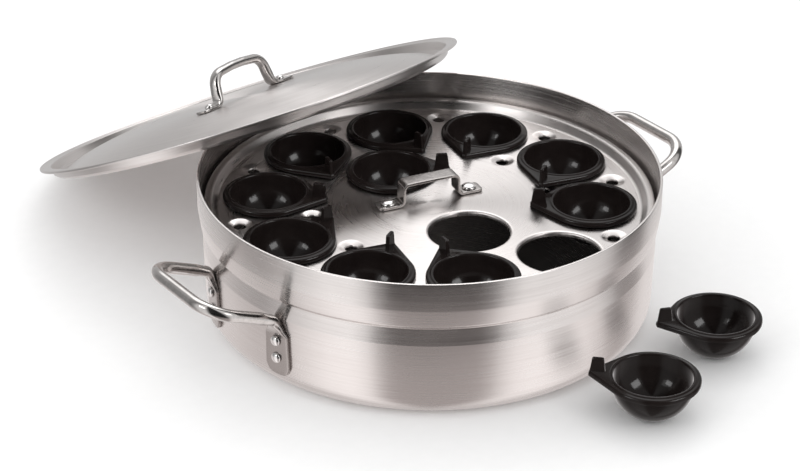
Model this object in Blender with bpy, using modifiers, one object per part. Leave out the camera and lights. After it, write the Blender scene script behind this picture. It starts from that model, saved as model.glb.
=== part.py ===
"""Twelve-cup egg poacher: stepped aluminium pan, lift-out insert plate, moulded cups and lid.

Frame: origin at the centre of the pan's flat underside, +Z up, X along the two side handles.
The lid leans over the back of the pan (+Y) and two of the cups stand loose on the table.
All driving dimensions are in millimetres and are scaled to metres when a mesh is made.
"""

import math

import bmesh
import bpy
from mathutils import Matrix, Vector

MM = 0.001
GAP = 0.3

# Pan
RIM_RADIUS = 203.0
PAN_HEIGHT = 131.0
WALL = 2.6
SHOULDER_RADIUS = 199.3
SHOULDER_Z = 73.5
WAIST_RADIUS = 198.2
WAIST_Z = 83.5
LOWER_RADIUS = 197.8
CORNER_RADIUS = 20.5
CORNER_HEIGHT = 19.5
BASE_THICK = 3.2

# Insert plate
PLATE_TOP = 99.4
PLATE_THICK = 1.8
INSERT_RADIUS = 197.3
INSERT_LIP_TOP = 107.6
INSERT_SKIRT_Z = 89.4
INSERT_TURN = -3.5
HOLE_RADIUS = 35.3
OUTER_RING = 142.1
INNER_RING = 63.3
OUTER_HOLES = 10
VENT_RING = 169.4
INNER_VENT_RING = 105.3
INNER_VENTS = (-18.0, 18.0, 162.0, 198.0)
VENT_RADIUS = 5.4

# Cup
CUP_BOWL_RADIUS = 33.0
CUP_BOWL_INNER_DEPTH = 30.6
CUP_BOWL_OUTER = 34.6
CUP_BOWL_DEPTH = 33.5
CUP_FOOT_ANGLE = 15.0
CUP_FOOT_Z = -CUP_BOWL_DEPTH * math.cos(math.radians(CUP_FOOT_ANGLE))
CUP_FLANGE_RADIUS = 40.0
CUP_TIP = 55.2
CUP_TOP = 5.7
CUP_TURNS = 16
FIN_THICK = 3.4
FIN_TOP = 17.4

# Side handles
HANDLE_FOOT_ANGLE = 14.4
HANDLE_SPREAD = 50.3
HANDLE_RISE = 23.0
HANDLE_REACH = 63.4
HANDLE_ROOT_X = 200.0
HANDLE_ROOT_Z = 72.2
HANDLE_CORNER = 26.0
ROD = 5.4
SIDE_RIVET_HEIGHTS = (50.5, 34.0)
SIDE_FOOT_THICK = 3.2

# Insert handle
STRAP_TURN = -12.0
STRAP_WIDTH = 14.6
STRAP_THICK = 2.5
STRAP_HEIGHT = 21.8
STRAP_LEG = 26.5
STRAP_REACH = 49.5
STRAP_RIVET = 39.0
STRAP_OFFSET = (3.6, 5.6)

# Lid
LID_RADIUS = 208.0
LID_THICK = 1.6
LID_SKIRT_RADIUS = 196.6
LID_DEPTH = 10.6
LID_FOOT = (196.3, 1.8 - LID_DEPTH)    # the skirt's lower corner, which stands on the table
LID_RISE = 7.9
LID_DOME_POWER = 4.5
LID_CENTRE = (-13.6, 271.3)
LID_TILT = 25.5
LID_LEAN = 96.8
LID_HANDLE_TURN = 12.4
LID_RIVET = 53.0

# Turning steps of the large round parts, the holes and the rivets
LARGE_STEPS = 50
HOLE_STEPS = 16
VENT_STEPS = 8
SMALL_STEPS = 8
FLAT = math.cos(math.pi / LARGE_STEPS)

# Ring position of each seated cup and the direction its tab points, in degrees
SEATED_CUPS = (
    ("cup_01", OUTER_RING, 68.5, -90.0),
    ("cup_02", OUTER_RING, 32.5, -147.7),
    ("cup_03", OUTER_RING, -3.5, -149.0),
    ("cup_04", OUTER_RING, -39.5, 143.5),
    ("cup_05", OUTER_RING, -111.5, 85.0),
    ("cup_06", OUTER_RING, -147.5, 31.0),
    ("cup_07", OUTER_RING, 176.5, 12.0),
    ("cup_08", OUTER_RING, 140.5, -46.0),
    ("cup_09", OUTER_RING, 104.5, -99.7),
    ("cup_10", INNER_RING, 86.5, -28.5),
)
# Table position and tab direction of the two loose cups
LOOSE_CUPS = (
    ("cup_11", (147.3, -216.1), 157.4),
    ("cup_12", (38.2, -259.8), 134.4),
)


def clear_scene():
    for obj in list(bpy.data.objects):
        bpy.data.objects.remove(obj)


def collection(name, cutters=False):
    made = bpy.data.collections.new(name)
    bpy.context.scene.collection.children.link(made)
    made.hide_render = cutters
    return made


def material(name, colour, metallic, roughness):
    made = bpy.data.materials.new(name)
    made.use_nodes = True
    shader = made.node_tree.nodes["Principled BSDF"]
    shader.inputs["Base Color"].default_value = (*colour, 1.0)
    shader.inputs["Metallic"].default_value = metallic
    shader.inputs["Roughness"].default_value = roughness
    return made


def mesh_object(name, mesh, look, home):
    obj = bpy.data.objects.new(name, mesh)
    home.objects.link(obj)
    if look is not None:
        mesh.materials.append(look)
    return obj


def polar(radius, angle, z=0.0):
    turn = math.radians(angle)
    return Vector((radius * math.cos(turn), radius * math.sin(turn), z))


def placed(point, angle=0.0):
    """A place at a point in millimetres, turned about Z."""
    return Matrix.Translation(Vector(point) * MM) @ Matrix.Rotation(math.radians(angle), 4, "Z")


def turned(name, profile, steps, look, home):
    """A round part. The profile is (radius, z) from the axis over the top and down the outside."""
    mesh = bpy.data.meshes.new(name)
    points = [(radius * MM, 0.0, z * MM) for radius, z in profile]
    edges = [(index, index + 1) for index in range(len(points) - 1)]
    mesh.from_pydata(points, edges, [])
    obj = mesh_object(name, mesh, look, home)
    screw = obj.modifiers.new("turn", "SCREW")
    screw.axis = "Z"
    screw.steps = steps
    screw.render_steps = steps
    screw.use_merge_vertices = True
    screw.merge_threshold = 0.0001
    return obj


def lofted(name, rings, look, home):
    """A closed body through rings of equally many points in millimetres."""
    mesh = bpy.data.meshes.new(name)
    shape = bmesh.new()
    rows = [[shape.verts.new(Vector(point) * MM) for point in ring] for ring in rings]
    count = len(rows[0])
    for lower, upper in zip(rows[:-1], rows[1:]):
        for index in range(count):
            after = (index + 1) % count
            shape.faces.new((lower[index], lower[after], upper[after], upper[index]))
    shape.faces.new(list(reversed(rows[0])))
    shape.faces.new(rows[-1])
    bmesh.ops.recalc_face_normals(shape, faces=shape.faces)
    shape.to_mesh(mesh)
    shape.free()
    return mesh_object(name, mesh, look, home)


def boolean(obj, operation, operand):
    step = obj.modifiers.new(operation.lower(), "BOOLEAN")
    step.operation = operation
    step.solver = "EXACT"
    if isinstance(operand, bpy.types.Collection):
        step.operand_type = "COLLECTION"
        step.collection = operand
    else:
        step.object = operand
    return step


def merge_flats(obj):
    """Joins neighbouring faces that lie in one plane."""
    step = obj.modifiers.new("merge_flats", "DECIMATE")
    step.decimate_type = "DISSOLVE"
    step.angle_limit = math.radians(0.4)


def cutter_cylinder(name, place, radius, length, home, steps=8):
    """A rod centred on a place, along its local Z."""
    mesh = bpy.data.meshes.new(name)
    shape = bmesh.new()
    bmesh.ops.create_cone(
        shape,
        cap_ends=True,
        segments=steps,
        radius1=radius * MM,
        radius2=radius * MM,
        depth=length * MM,
    )
    shape.to_mesh(mesh)
    shape.free()
    obj = mesh_object(name, mesh, None, home)
    obj.matrix_world = place
    obj.display_type = "WIRE"
    return obj


def as_cutter(obj):
    obj.display_type = "WIRE"
    return obj


def frozen(obj, name):
    """A new mesh holding the object with its modifiers worked out."""
    graph = bpy.context.evaluated_depsgraph_get()
    mesh = bpy.data.meshes.new_from_object(obj.evaluated_get(graph))
    mesh.name = name
    return mesh


# ---------------------------------------------------------------- swept bars and straps


def section(centre, width_axis, normal, half_width, half_thick, squareness, count):
    """Points of a rounded section: squareness 1 is an ellipse and near 0 a rectangle."""
    points = []
    for index in range(count):
        angle = 2.0 * math.pi * (index + 0.5) / count
        across = math.copysign(abs(math.cos(angle)) ** squareness, math.cos(angle))
        along = math.copysign(abs(math.sin(angle)) ** squareness, math.sin(angle))
        points.append(centre + width_axis * (half_width * across) + normal * (half_thick * along))
    return points


def rounded_path(nodes, arc_steps):
    """Turns corner nodes into arcs. A node is (point, corner radius, section, normal)."""
    path = []
    for index, (point, radius, size, normal) in enumerate(nodes):
        if radius <= 0.0:
            path.append((Vector(point), size, Vector(normal)))
            continue
        before = (Vector(nodes[index - 1][0]) - point).normalized()
        after = (Vector(nodes[index + 1][0]) - point).normalized()
        half = 0.5 * math.acos(max(-1.0, min(1.0, before.dot(after))))
        centre = point + (before + after).normalized() * (radius / math.sin(half))
        start = point + before * (radius / math.tan(half))
        axis = (start - centre).cross(point + after * (radius / math.tan(half)) - centre)
        sweep = math.pi - 2.0 * half
        first = Vector(nodes[index - 1][3])
        last = Vector(nodes[index + 1][3])
        for step in range(arc_steps + 1):
            share = step / arc_steps
            turn = Matrix.Rotation(sweep * share, 3, axis.normalized())
            mixed = first.lerp(last, share).normalized()
            path.append((centre + turn @ (start - centre), size, mixed))
    return path


def swept(name, nodes, look, home, arc_steps=4, count=10, width_axis=None):
    """A bar along a path whose section changes from node to node."""
    path = rounded_path(nodes, arc_steps)
    rings = []
    for index, (point, size, normal) in enumerate(path):
        before = path[max(index - 1, 0)][0]
        after = path[min(index + 1, len(path) - 1)][0]
        tangent = (after - before).normalized()
        across = Vector(width_axis) if width_axis else normal.cross(tangent).normalized()
        upward = tangent.cross(across).normalized()
        half_width, half_thick, squareness = size
        rings.append(section(point, across, upward, half_width, half_thick, squareness, count))
    return lofted(name, rings, look, home)


# ---------------------------------------------------------------- pan


def wall_radius(z):
    """Distance from the axis to a flat of the straight lower wall, outside."""
    share = (z - CORNER_HEIGHT) / (SHOULDER_Z - CORNER_HEIGHT)
    return (LOWER_RADIUS + (SHOULDER_RADIUS - LOWER_RADIUS) * share) * FLAT


def pan_profile():
    inner = [(0.0, BASE_THICK)]
    bend = CORNER_RADIUS - WALL
    for angle in (90.0, 45.0, 0.0):
        turn = math.radians(angle)
        radius = LOWER_RADIUS - CORNER_RADIUS + bend * math.cos(turn)
        height = CORNER_HEIGHT - (CORNER_HEIGHT - BASE_THICK) * math.sin(turn)
        inner.append((radius, height))
    inner += [
        (SHOULDER_RADIUS - WALL, SHOULDER_Z),
        (WAIST_RADIUS - WALL, WAIST_Z),
        (198.5 - WALL, 86.5),
        (200.9 - WALL, 90.5),
        (202.4 - WALL, 97.5),
        (RIM_RADIUS - WALL, 108.0),
        (RIM_RADIUS - WALL, PAN_HEIGHT),
    ]
    outer = [
        (RIM_RADIUS, PAN_HEIGHT),
        (RIM_RADIUS, 108.5),
        (202.4, 97.0),
        (200.9, 89.8),
        (198.6, 85.8),
        (WAIST_RADIUS, WAIST_Z),
        (SHOULDER_RADIUS, SHOULDER_Z),
    ]
    for angle in (0.0, 30.0, 60.0, 90.0):
        turn = math.radians(angle)
        radius = LOWER_RADIUS - CORNER_RADIUS + CORNER_RADIUS * math.cos(turn)
        outer.append((radius, CORNER_HEIGHT - CORNER_HEIGHT * math.sin(turn)))
    outer.append((0.0, 0.0))
    return inner + outer


def half_step():
    """Turns a large round part so that a flat, not a corner, faces +X."""
    return Matrix.Rotation(math.pi / LARGE_STEPS, 4, "Z")


def foot_places():
    """(handle name, outward direction in degrees) of the four side-handle feet."""
    feet = []
    for side, centre in (("right", 0.0), ("left", 180.0)):
        for number, offset in ((1, HANDLE_FOOT_ANGLE), (2, -HANDLE_FOOT_ANGLE)):
            feet.append((side, number, centre + offset))
    return feet


def radial_place(radius, angle, z):
    """A place whose local Z points outwards."""
    outward = Matrix.Rotation(math.radians(90.0), 4, "Y")
    return placed(polar(radius, angle, z), angle) @ outward


def make_pan(look, home, cutter_scene):
    holes = bpy.data.collections.new("pan_rivet_holes")
    cutter_scene.children.link(holes)
    for side, number, angle in foot_places():
        for row, height in enumerate(SIDE_RIVET_HEIGHTS):
            place = radial_place(wall_radius(height), angle, height)
            cutter_cylinder(f"pan_hole_{side}_{number}_{row}", place, 2.8, 14.0, holes)
    pan = turned("pan_body", pan_profile(), LARGE_STEPS, look, home)
    pan.matrix_world = half_step()
    boolean(pan, "DIFFERENCE", holes)
    return pan


# ---------------------------------------------------------------- side handles


def side_handle_nodes():
    """Foot, bend, arm and outer bar for one half; the other half mirrors it."""
    foot_turn = math.radians(HANDLE_FOOT_ANGLE)
    rise = math.radians(HANDLE_RISE)
    arm = Vector((math.cos(rise), 0.0, math.sin(rise)))
    lifted = Vector((-math.sin(rise), 0.0, math.cos(rise)))
    inward = Vector((-math.cos(foot_turn), -math.sin(foot_turn), 0.0))

    def on_foot(z):
        radius = wall_radius(z) + GAP + SIDE_FOOT_THICK / 2.0
        return Vector((radius * math.cos(foot_turn), radius * math.sin(foot_turn), z))

    root = Vector((HANDLE_ROOT_X, HANDLE_SPREAD, HANDLE_ROOT_Z))
    flat = SIDE_FOOT_THICK / 2.0
    half = [
        (on_foot(17.0), 0.0, (4.6, flat - 0.2, 0.5), inward),
        (on_foot(19.6), 0.0, (10.0, flat, 0.4), inward),
        (on_foot(25.5), 0.0, (12.8, flat, 0.4), inward),
        (on_foot(55.8), 0.0, (12.2, flat, 0.4), inward),
    ]
    bulge = on_foot(62.5) + Vector((1.4, 0.3, 0.0))
    half.append((bulge, 0.0, (8.4, 3.0, 0.7), inward))
    bend = root - arm * 2.2
    half.append((bend, 6.5, (6.2, 4.2, 0.9), inward))
    half.append((root + arm * 13.0, 0.0, (ROD, ROD, 1.0), lifted))
    half.append((root + arm * HANDLE_REACH, HANDLE_CORNER, (ROD, ROD, 1.0), lifted))
    other = []
    for point, radius, size, normal in reversed(half):
        other.append(
            (
                Vector((point.x, -point.y, point.z)),
                radius,
                size,
                Vector((normal.x, -normal.y, normal.z)),
            )
        )
    return half + other


def make_side_handle(name, angle, look, home, cutter_scene):
    bar = swept(name, side_handle_nodes(), look, home, arc_steps=3, count=8)
    bar.matrix_world = placed((0.0, 0.0, 0.0), angle)
    holes = bpy.data.collections.new(name + "_holes")
    cutter_scene.children.link(holes)
    for row, height in enumerate(SIDE_RIVET_HEIGHTS):
        for number, offset in ((1, HANDLE_FOOT_ANGLE), (2, -HANDLE_FOOT_ANGLE)):
            place = radial_place(wall_radius(height), angle + offset, height)
            cutter_cylinder(f"{name}_hole_{number}_{row}", place, 2.8, 14.0, holes)
    boolean(bar, "DIFFERENCE", holes)
    return bar


# ---------------------------------------------------------------- rivets


def rivet_profile(head, dome, shank, grip, tail):
    """Z is 0 on the outer face; the shank passes a grip of this thickness."""
    low = -grip - GAP
    return [
        (0.0, dome + GAP),
        (head * 0.62, dome * 0.78 + GAP),
        (head, GAP),
        (shank, GAP),
        (shank, low),
        (tail, low),
        (tail * 0.9, low - 1.4),
        (0.0, low - 1.4),
    ]


def make_rivets(looks, home):
    side_grip = SIDE_FOOT_THICK + GAP + WALL
    for side, number, angle in foot_places():
        for row, height in enumerate(SIDE_RIVET_HEIGHTS):
            profile = rivet_profile(4.8, 3.4, 2.5, side_grip, 4.6)
            index = (number - 1) * 2 + row + 1
            rivet = turned(f"side_rivet_{side}_{index}", profile, SMALL_STEPS, looks["side"], home)
            radius = wall_radius(height) + GAP + SIDE_FOOT_THICK
            rivet.matrix_world = radial_place(radius, angle, height)
    for index, offset in ((1, STRAP_RIVET), (2, -STRAP_RIVET)):
        grip = STRAP_THICK + GAP + PLATE_THICK
        profile = rivet_profile(6.6, 3.0, 2.5, grip, 4.8)
        rivet = turned(f"insert_rivet_{index}", profile, SMALL_STEPS, looks["insert"], home)
        rivet.matrix_world = strap_place() @ placed((offset, 0.0, GAP + STRAP_THICK))
    for index, offset in ((1, LID_RIVET), (2, -LID_RIVET)):
        grip = 2.6 + GAP + LID_THICK
        profile = rivet_profile(4.4, 3.6, 2.5, grip, 4.6)
        rivet = turned(f"lid_rivet_{index}", profile, SMALL_STEPS, looks["lid"], home)
        rivet.matrix_world = lid_handle_place() @ placed((offset, 0.0, GAP + 2.6))


# ---------------------------------------------------------------- insert plate


def insert_profile():
    bottom = PLATE_TOP - PLATE_THICK
    return [
        (0.0, PLATE_TOP),
        (185.0, PLATE_TOP),
        (189.0, 101.6),
        (191.4, 106.4),
        (194.4, INSERT_LIP_TOP),
        (INSERT_RADIUS, 105.4),
        (INSERT_RADIUS, INSERT_SKIRT_Z),
        (INSERT_RADIUS - 1.7, INSERT_SKIRT_Z),
        (INSERT_RADIUS - 1.7, 104.6),
        (194.2, 105.8),
        (192.8, 105.2),
        (190.4, 100.6),
        (186.0, bottom),
        (0.0, bottom),
    ]


def hole_centres():
    """Centres of the ten outer and two inner cup holes, millimetres."""
    centres = [
        polar(OUTER_RING, INSERT_TURN + 360.0 / OUTER_HOLES * index)
        for index in range(OUTER_HOLES)
    ]
    centres += [polar(INNER_RING, INSERT_TURN + angle) for angle in (90.0, 270.0)]
    return centres


def vent_centres():
    step = 360.0 / OUTER_HOLES
    centres = [
        polar(VENT_RING, INSERT_TURN + step * (index + 0.5)) for index in range(OUTER_HOLES)
    ]
    centres += [polar(INNER_VENT_RING, INSERT_TURN + angle) for angle in INNER_VENTS]
    return centres


def hole_cutter(name, centre, home):
    """Flares the top edge of a cup hole and bores its drawn collar."""
    profile = [
        (0.0, PLATE_TOP + 0.5),
        (HOLE_RADIUS + 3.6, PLATE_TOP + 0.5),
        (HOLE_RADIUS + 0.9, PLATE_TOP - 0.9),
        (HOLE_RADIUS, PLATE_TOP - 2.6),
        (HOLE_RADIUS, PLATE_TOP - 9.0),
        (0.0, PLATE_TOP - 9.0),
    ]
    cutter = as_cutter(turned(name, profile, HOLE_STEPS, None, home))
    cutter.matrix_world = placed(centre)


def hole_collar(name, centre, home):
    profile = [
        (0.0, PLATE_TOP - 0.9),
        (HOLE_RADIUS + 2.9, PLATE_TOP - 0.9),
        (HOLE_RADIUS + 1.7, PLATE_TOP - 4.2),
        (0.0, PLATE_TOP - 4.2),
    ]
    collar = as_cutter(turned(name, profile, HOLE_STEPS, None, home))
    collar.matrix_world = placed(centre)


def vent_cutter(name, centre, home):
    """A dimple with a bore at its foot."""
    profile = [
        (0.0, PLATE_TOP + 0.6),
        (VENT_RADIUS + 6.4, PLATE_TOP + 0.6),
        (VENT_RADIUS, PLATE_TOP - 2.4),
        (VENT_RADIUS, PLATE_TOP - 7.0),
        (0.0, PLATE_TOP - 7.0),
    ]
    cutter = as_cutter(turned(name, profile, VENT_STEPS, None, home))
    cutter.matrix_world = placed(centre)


def vent_boss(name, centre, home):
    profile = [
        (0.0, PLATE_TOP - 0.7),
        (VENT_RADIUS + 4.6, PLATE_TOP - 0.7),
        (VENT_RADIUS + 1.7, PLATE_TOP - 3.9),
        (0.0, PLATE_TOP - 3.9),
    ]
    boss = as_cutter(turned(name, profile, VENT_STEPS, None, home))
    boss.matrix_world = placed(centre)


def strap_place():
    """Local X runs along the insert handle and Z is 0 on the plate."""
    return placed((*STRAP_OFFSET, PLATE_TOP), STRAP_TURN)


def make_insert(look, home, cutter_scene):
    collars = bpy.data.collections.new("insert_collars")
    bores = bpy.data.collections.new("insert_bores")
    for helper in (collars, bores):
        cutter_scene.children.link(helper)
    for index, centre in enumerate(hole_centres()):
        hole_collar(f"collar_{index}", centre, collars)
        hole_cutter(f"bore_{index}", centre, bores)
    for index, centre in enumerate(vent_centres()):
        vent_boss(f"vent_boss_{index}", centre, collars)
        vent_cutter(f"vent_bore_{index}", centre, bores)
    for index, offset in enumerate((STRAP_RIVET, -STRAP_RIVET)):
        place = strap_place() @ placed((offset, 0.0, 0.0))
        cutter_cylinder(f"strap_bore_{index}", place, 2.8, 12.0, bores)
    plate = turned("insert_plate", insert_profile(), LARGE_STEPS, look, home)
    plate.matrix_world = half_step()
    merge_flats(plate)
    boolean(plate, "UNION", collars)
    boolean(plate, "DIFFERENCE", bores)
    merge_flats(plate)
    return plate


def make_insert_handle(look, home, cutter_scene):
    half_width = STRAP_WIDTH / 2.0
    half_thick = STRAP_THICK / 2.0
    low = GAP + half_thick
    high = STRAP_HEIGHT - half_thick
    flat = (half_width, half_thick, 0.35)
    up = (0.0, 0.0, 1.0)
    half = [
        ((-STRAP_REACH, 0.0, low), 0.0, (3.6, half_thick, 0.5), up),
        ((-STRAP_REACH + 1.8, 0.0, low), 0.0, (6.0, half_thick, 0.4), up),
        ((-STRAP_REACH + 5.0, 0.0, low), 0.0, flat, up),
        ((-STRAP_LEG - 7.0, 0.0, low), 0.0, flat, up),
        ((-STRAP_LEG, 0.0, low), 4.2, flat, up),
        ((-STRAP_LEG + 0.7, 0.0, high), 4.2, flat, up),
        ((-8.0, 0.0, high + 0.2), 0.0, flat, up),
    ]
    nodes = [(Vector(point), radius, size, normal) for point, radius, size, normal in half]
    for point, radius, size, normal in reversed(half):
        nodes.append((Vector((-point[0], point[1], point[2])), radius, size, normal))
    strap = swept("insert_handle", nodes, look, home, 3, 8, width_axis=(0.0, 1.0, 0.0))
    strap.matrix_world = strap_place()
    holes = bpy.data.collections.new("insert_handle_holes")
    cutter_scene.children.link(holes)
    for index, offset in enumerate((STRAP_RIVET, -STRAP_RIVET)):
        place = strap_place() @ placed((offset, 0.0, 0.0))
        cutter_cylinder(f"insert_handle_hole_{index}", place, 2.8, 12.0, holes)
    boolean(strap, "DIFFERENCE", holes)
    return strap


# ---------------------------------------------------------------- cups


def tear(radius, tip, angle):
    """Reach of the teardrop outline at an angle from the tab."""
    away = abs((angle + 180.0) % 360.0 - 180.0)
    tangent = math.degrees(math.acos(radius / tip))
    if away >= tangent:
        return radius
    reach = radius / math.cos(math.radians(tangent - away))
    return min(reach, (tip - 1.6) / max(math.cos(math.radians(away)), 0.5))


def cup_angles():
    """Even turns, with a pair of points at the tab's blunt end."""
    angles = [360.0 * index / CUP_TURNS for index in range(1, CUP_TURNS)]
    return [2.2] + angles + [357.8]


def cup_ring(kind, radius, z):
    points = []
    for angle in cup_angles():
        if kind == "round":
            reach = radius
        else:
            reach = tear(CUP_FLANGE_RADIUS, CUP_TIP, angle) + radius
        points.append(polar(reach, angle, z))
    return points


def cup_rings():
    """The bowl's inside, the raised ring, the flange and its underside, then the bowl outside."""
    rings = []
    for angle in (15.0, 42.0, 67.0):
        turn = math.radians(angle)
        z = -CUP_BOWL_INNER_DEPTH * math.cos(turn)
        rings.append(cup_ring("round", CUP_BOWL_RADIUS * math.sin(turn), z))
    rings.append(cup_ring("round", 33.2, CUP_TOP - 0.9))
    rings.append(cup_ring("round", 35.2, CUP_TOP))
    rings.append(cup_ring("tear", -1.1, CUP_TOP - 1.2))
    rings.append(cup_ring("tear", 0.0, CUP_TOP - 2.4))
    rings.append(cup_ring("tear", 0.0, 0.0))
    rings.append(cup_ring("tear", -1.8, 0.0))
    rings.append(cup_ring("round", CUP_BOWL_OUTER, 1.3))
    for angle in (64.0, 38.0, CUP_FOOT_ANGLE):
        turn = math.radians(angle)
        z = -CUP_BOWL_DEPTH * math.cos(turn)
        rings.append(cup_ring("round", CUP_BOWL_OUTER * math.sin(turn), z))
    return rings


def fin_rings():
    """The upright thumb fin on the tab, as two outlines across its thickness."""
    outline = (
        (CUP_TIP - 1.9, 1.0),
        (CUP_TIP - 3.0, FIN_TOP - 1.6),
        (CUP_TIP - 4.4, FIN_TOP),
        (41.8, FIN_TOP),
        (40.6, FIN_TOP - 1.4),
        (39.6, 2.0),
    )
    rings = []
    for side in (-0.5, 0.5):
        rings.append([Vector((x, side * FIN_THICK, z)) for x, z in outline])
    return rings


def cup_mesh(look, home, cutter_scene):
    shell = lofted("cup_shell", cup_rings(), look, home)
    fin = as_cutter(lofted("cup_fin", fin_rings(), None, cutter_scene))
    boolean(shell, "UNION", fin)
    bpy.context.view_layer.update()
    mesh = frozen(shell, "cup_mesh")
    for helper in (shell, fin):
        bpy.data.objects.remove(helper)
    return mesh


def make_cups(look, home, cutter_scene):
    mesh = cup_mesh(look, home, cutter_scene)
    for name, radius, angle, tab in SEATED_CUPS:
        cup = bpy.data.objects.new(name, mesh)
        home.objects.link(cup)
        cup.matrix_world = placed(polar(radius, angle, PLATE_TOP + GAP), tab)
    for name, (x, y), tab in LOOSE_CUPS:
        cup = bpy.data.objects.new(name, mesh)
        home.objects.link(cup)
        cup.matrix_world = placed((x, y, -CUP_FOOT_Z), tab)


# ---------------------------------------------------------------- lid


def lid_place():
    """Local Z is the lid's axis; local X is level and local Y climbs towards the front."""
    lean = math.radians(LID_LEAN)
    tilt = math.radians(LID_TILT)
    flat = Vector((math.cos(lean), math.sin(lean), 0.0))
    axis = flat * math.sin(tilt) + Vector((0.0, 0.0, math.cos(tilt)))
    level = Vector((0.0, 0.0, 1.0)).cross(axis).normalized()
    climb = axis.cross(level)
    turn = Matrix((level, climb, axis)).transposed().to_4x4()
    foot_radius, foot_z = LID_FOOT
    edge_drop = foot_radius * math.sin(tilt) - foot_z * math.cos(tilt)
    centre = Vector((*LID_CENTRE, edge_drop + GAP))
    return Matrix.Translation(centre * MM) @ turn


def lid_height(radius):
    return LID_RISE - (LID_RISE + LID_DEPTH) * (radius / 191.0) ** LID_DOME_POWER


def lid_profile():
    stations = (0.0, 60.0, 110.0, 145.0, 172.0)
    top = [(radius, lid_height(radius)) for radius in stations]
    top += [
        (189.0, -LID_DEPTH + 0.6),
        (194.8, -LID_DEPTH + 2.6),
        (LID_SKIRT_RADIUS, -1.4),
        (199.4, 0.6),
        (LID_RADIUS - 3.2, 0.9),
        (LID_RADIUS - 1.4, 1.5),
        (LID_RADIUS, 0.0),
        (LID_RADIUS - 1.6, -1.4),
        (200.0, -1.0),
    ]
    under = [
        (198.4, -2.4),
        LID_FOOT,
        (189.4, -LID_DEPTH - 1.1),
    ]
    for radius in reversed(stations):
        under.append((radius, lid_height(radius) - LID_THICK))
    return top + under


def lid_handle_place():
    """Local X runs along the lid handle and Z is 0 on the lid panel under its feet."""
    turn = Matrix.Rotation(math.radians(LID_HANDLE_TURN), 4, "Z")
    lift = Matrix.Translation(Vector((0.0, 0.0, lid_height(LID_RIVET) * MM)))
    return lid_place() @ turn @ lift


def make_lid(look, home, cutter_scene):
    holes = bpy.data.collections.new("lid_holes")
    cutter_scene.children.link(holes)
    for index, offset in enumerate((LID_RIVET, -LID_RIVET)):
        place = lid_handle_place() @ placed((offset, 0.0, 0.0))
        cutter_cylinder(f"lid_hole_{index}", place, 2.8, 12.0, holes)
    lid = turned("lid", lid_profile(), LARGE_STEPS, look, home)
    lid.matrix_world = lid_place()
    boolean(lid, "DIFFERENCE", holes)
    return lid


def make_lid_handle(look, home, cutter_scene):
    up = (0.0, 0.0, 1.0)
    low = GAP + 1.3
    half = [
        ((-68.0, 0.0, low), 0.0, (3.5, 1.2, 0.5), up),
        ((-66.0, 0.0, low), 0.0, (6.4, 1.3, 0.45), up),
        ((-62.0, 0.0, low), 0.0, (7.8, 1.3, 0.4), up),
        ((-49.0, 0.0, low), 0.0, (7.6, 1.3, 0.4), up),
        ((-45.0, 0.0, low + 0.5), 0.0, (6.8, 1.7, 0.6), up),
        ((-39.5, 0.0, low + 2.4), 5.5, (6.2, 3.2, 0.8), up),
        ((-37.5, 0.0, 14.0), 0.0, (6.0, 4.4, 0.9), up),
        ((-34.5, 0.0, 30.0), 14.0, (5.9, 4.4, 1.0), up),
        ((-8.0, 0.0, 32.4), 0.0, (5.9, 4.3, 1.0), up),
    ]
    nodes = [(Vector(point), radius, size, normal) for point, radius, size, normal in half]
    for point, radius, size, normal in reversed(half):
        nodes.append((Vector((-point[0], point[1], point[2])), radius, size, normal))
    bar = swept("lid_handle", nodes, look, home, arc_steps=3, count=8, width_axis=(0.0, 1.0, 0.0))
    bar.matrix_world = lid_handle_place()
    holes = bpy.data.collections.new("lid_handle_holes")
    cutter_scene.children.link(holes)
    for index, offset in enumerate((LID_RIVET, -LID_RIVET)):
        place = lid_handle_place() @ placed((offset, 0.0, 0.0))
        cutter_cylinder(f"lid_handle_hole_{index}", place, 2.8, 12.0, holes)
    boolean(bar, "DIFFERENCE", holes)
    return bar


def main():
    clear_scene()
    parts = collection("egg_cooker")
    cutters = collection("cutters", cutters=True)
    brushed = (0.56, 0.54, 0.52)
    make_pan(material("pan_aluminium", brushed, 1.0, 0.34), parts, cutters)
    handle_look = material("side_handle_polished", (0.70, 0.69, 0.68), 1.0, 0.16)
    make_side_handle("side_handle_right", 0.0, handle_look, parts, cutters)
    make_side_handle("side_handle_left", 180.0, handle_look, parts, cutters)
    rivet_looks = {
        "side": material("side_rivet_polished", (0.66, 0.65, 0.64), 1.0, 0.20),
        "insert": material("insert_rivet_polished", (0.68, 0.67, 0.66), 1.0, 0.18),
        "lid": material("lid_rivet_polished", (0.68, 0.67, 0.66), 1.0, 0.18),
    }
    make_rivets(rivet_looks, parts)
    make_insert(material("insert_aluminium", (0.60, 0.58, 0.56), 1.0, 0.30), parts, cutters)
    strap_look = material("insert_handle_polished", (0.66, 0.64, 0.63), 1.0, 0.22)
    make_insert_handle(strap_look, parts, cutters)
    make_cups(material("cup_black_plastic", (0.012, 0.011, 0.010), 0.0, 0.24), parts, cutters)
    make_lid(material("lid_aluminium", (0.58, 0.56, 0.54), 1.0, 0.32), parts, cutters)
    lid_handle_look = material("lid_handle_polished", (0.72, 0.71, 0.70), 1.0, 0.12)
    make_lid_handle(lid_handle_look, parts, cutters)


main()
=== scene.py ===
import math

import bmesh
import bpy
import numpy as np
from mathutils import Matrix, Vector
from mathutils.geometry import tessellate_polygon


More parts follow.
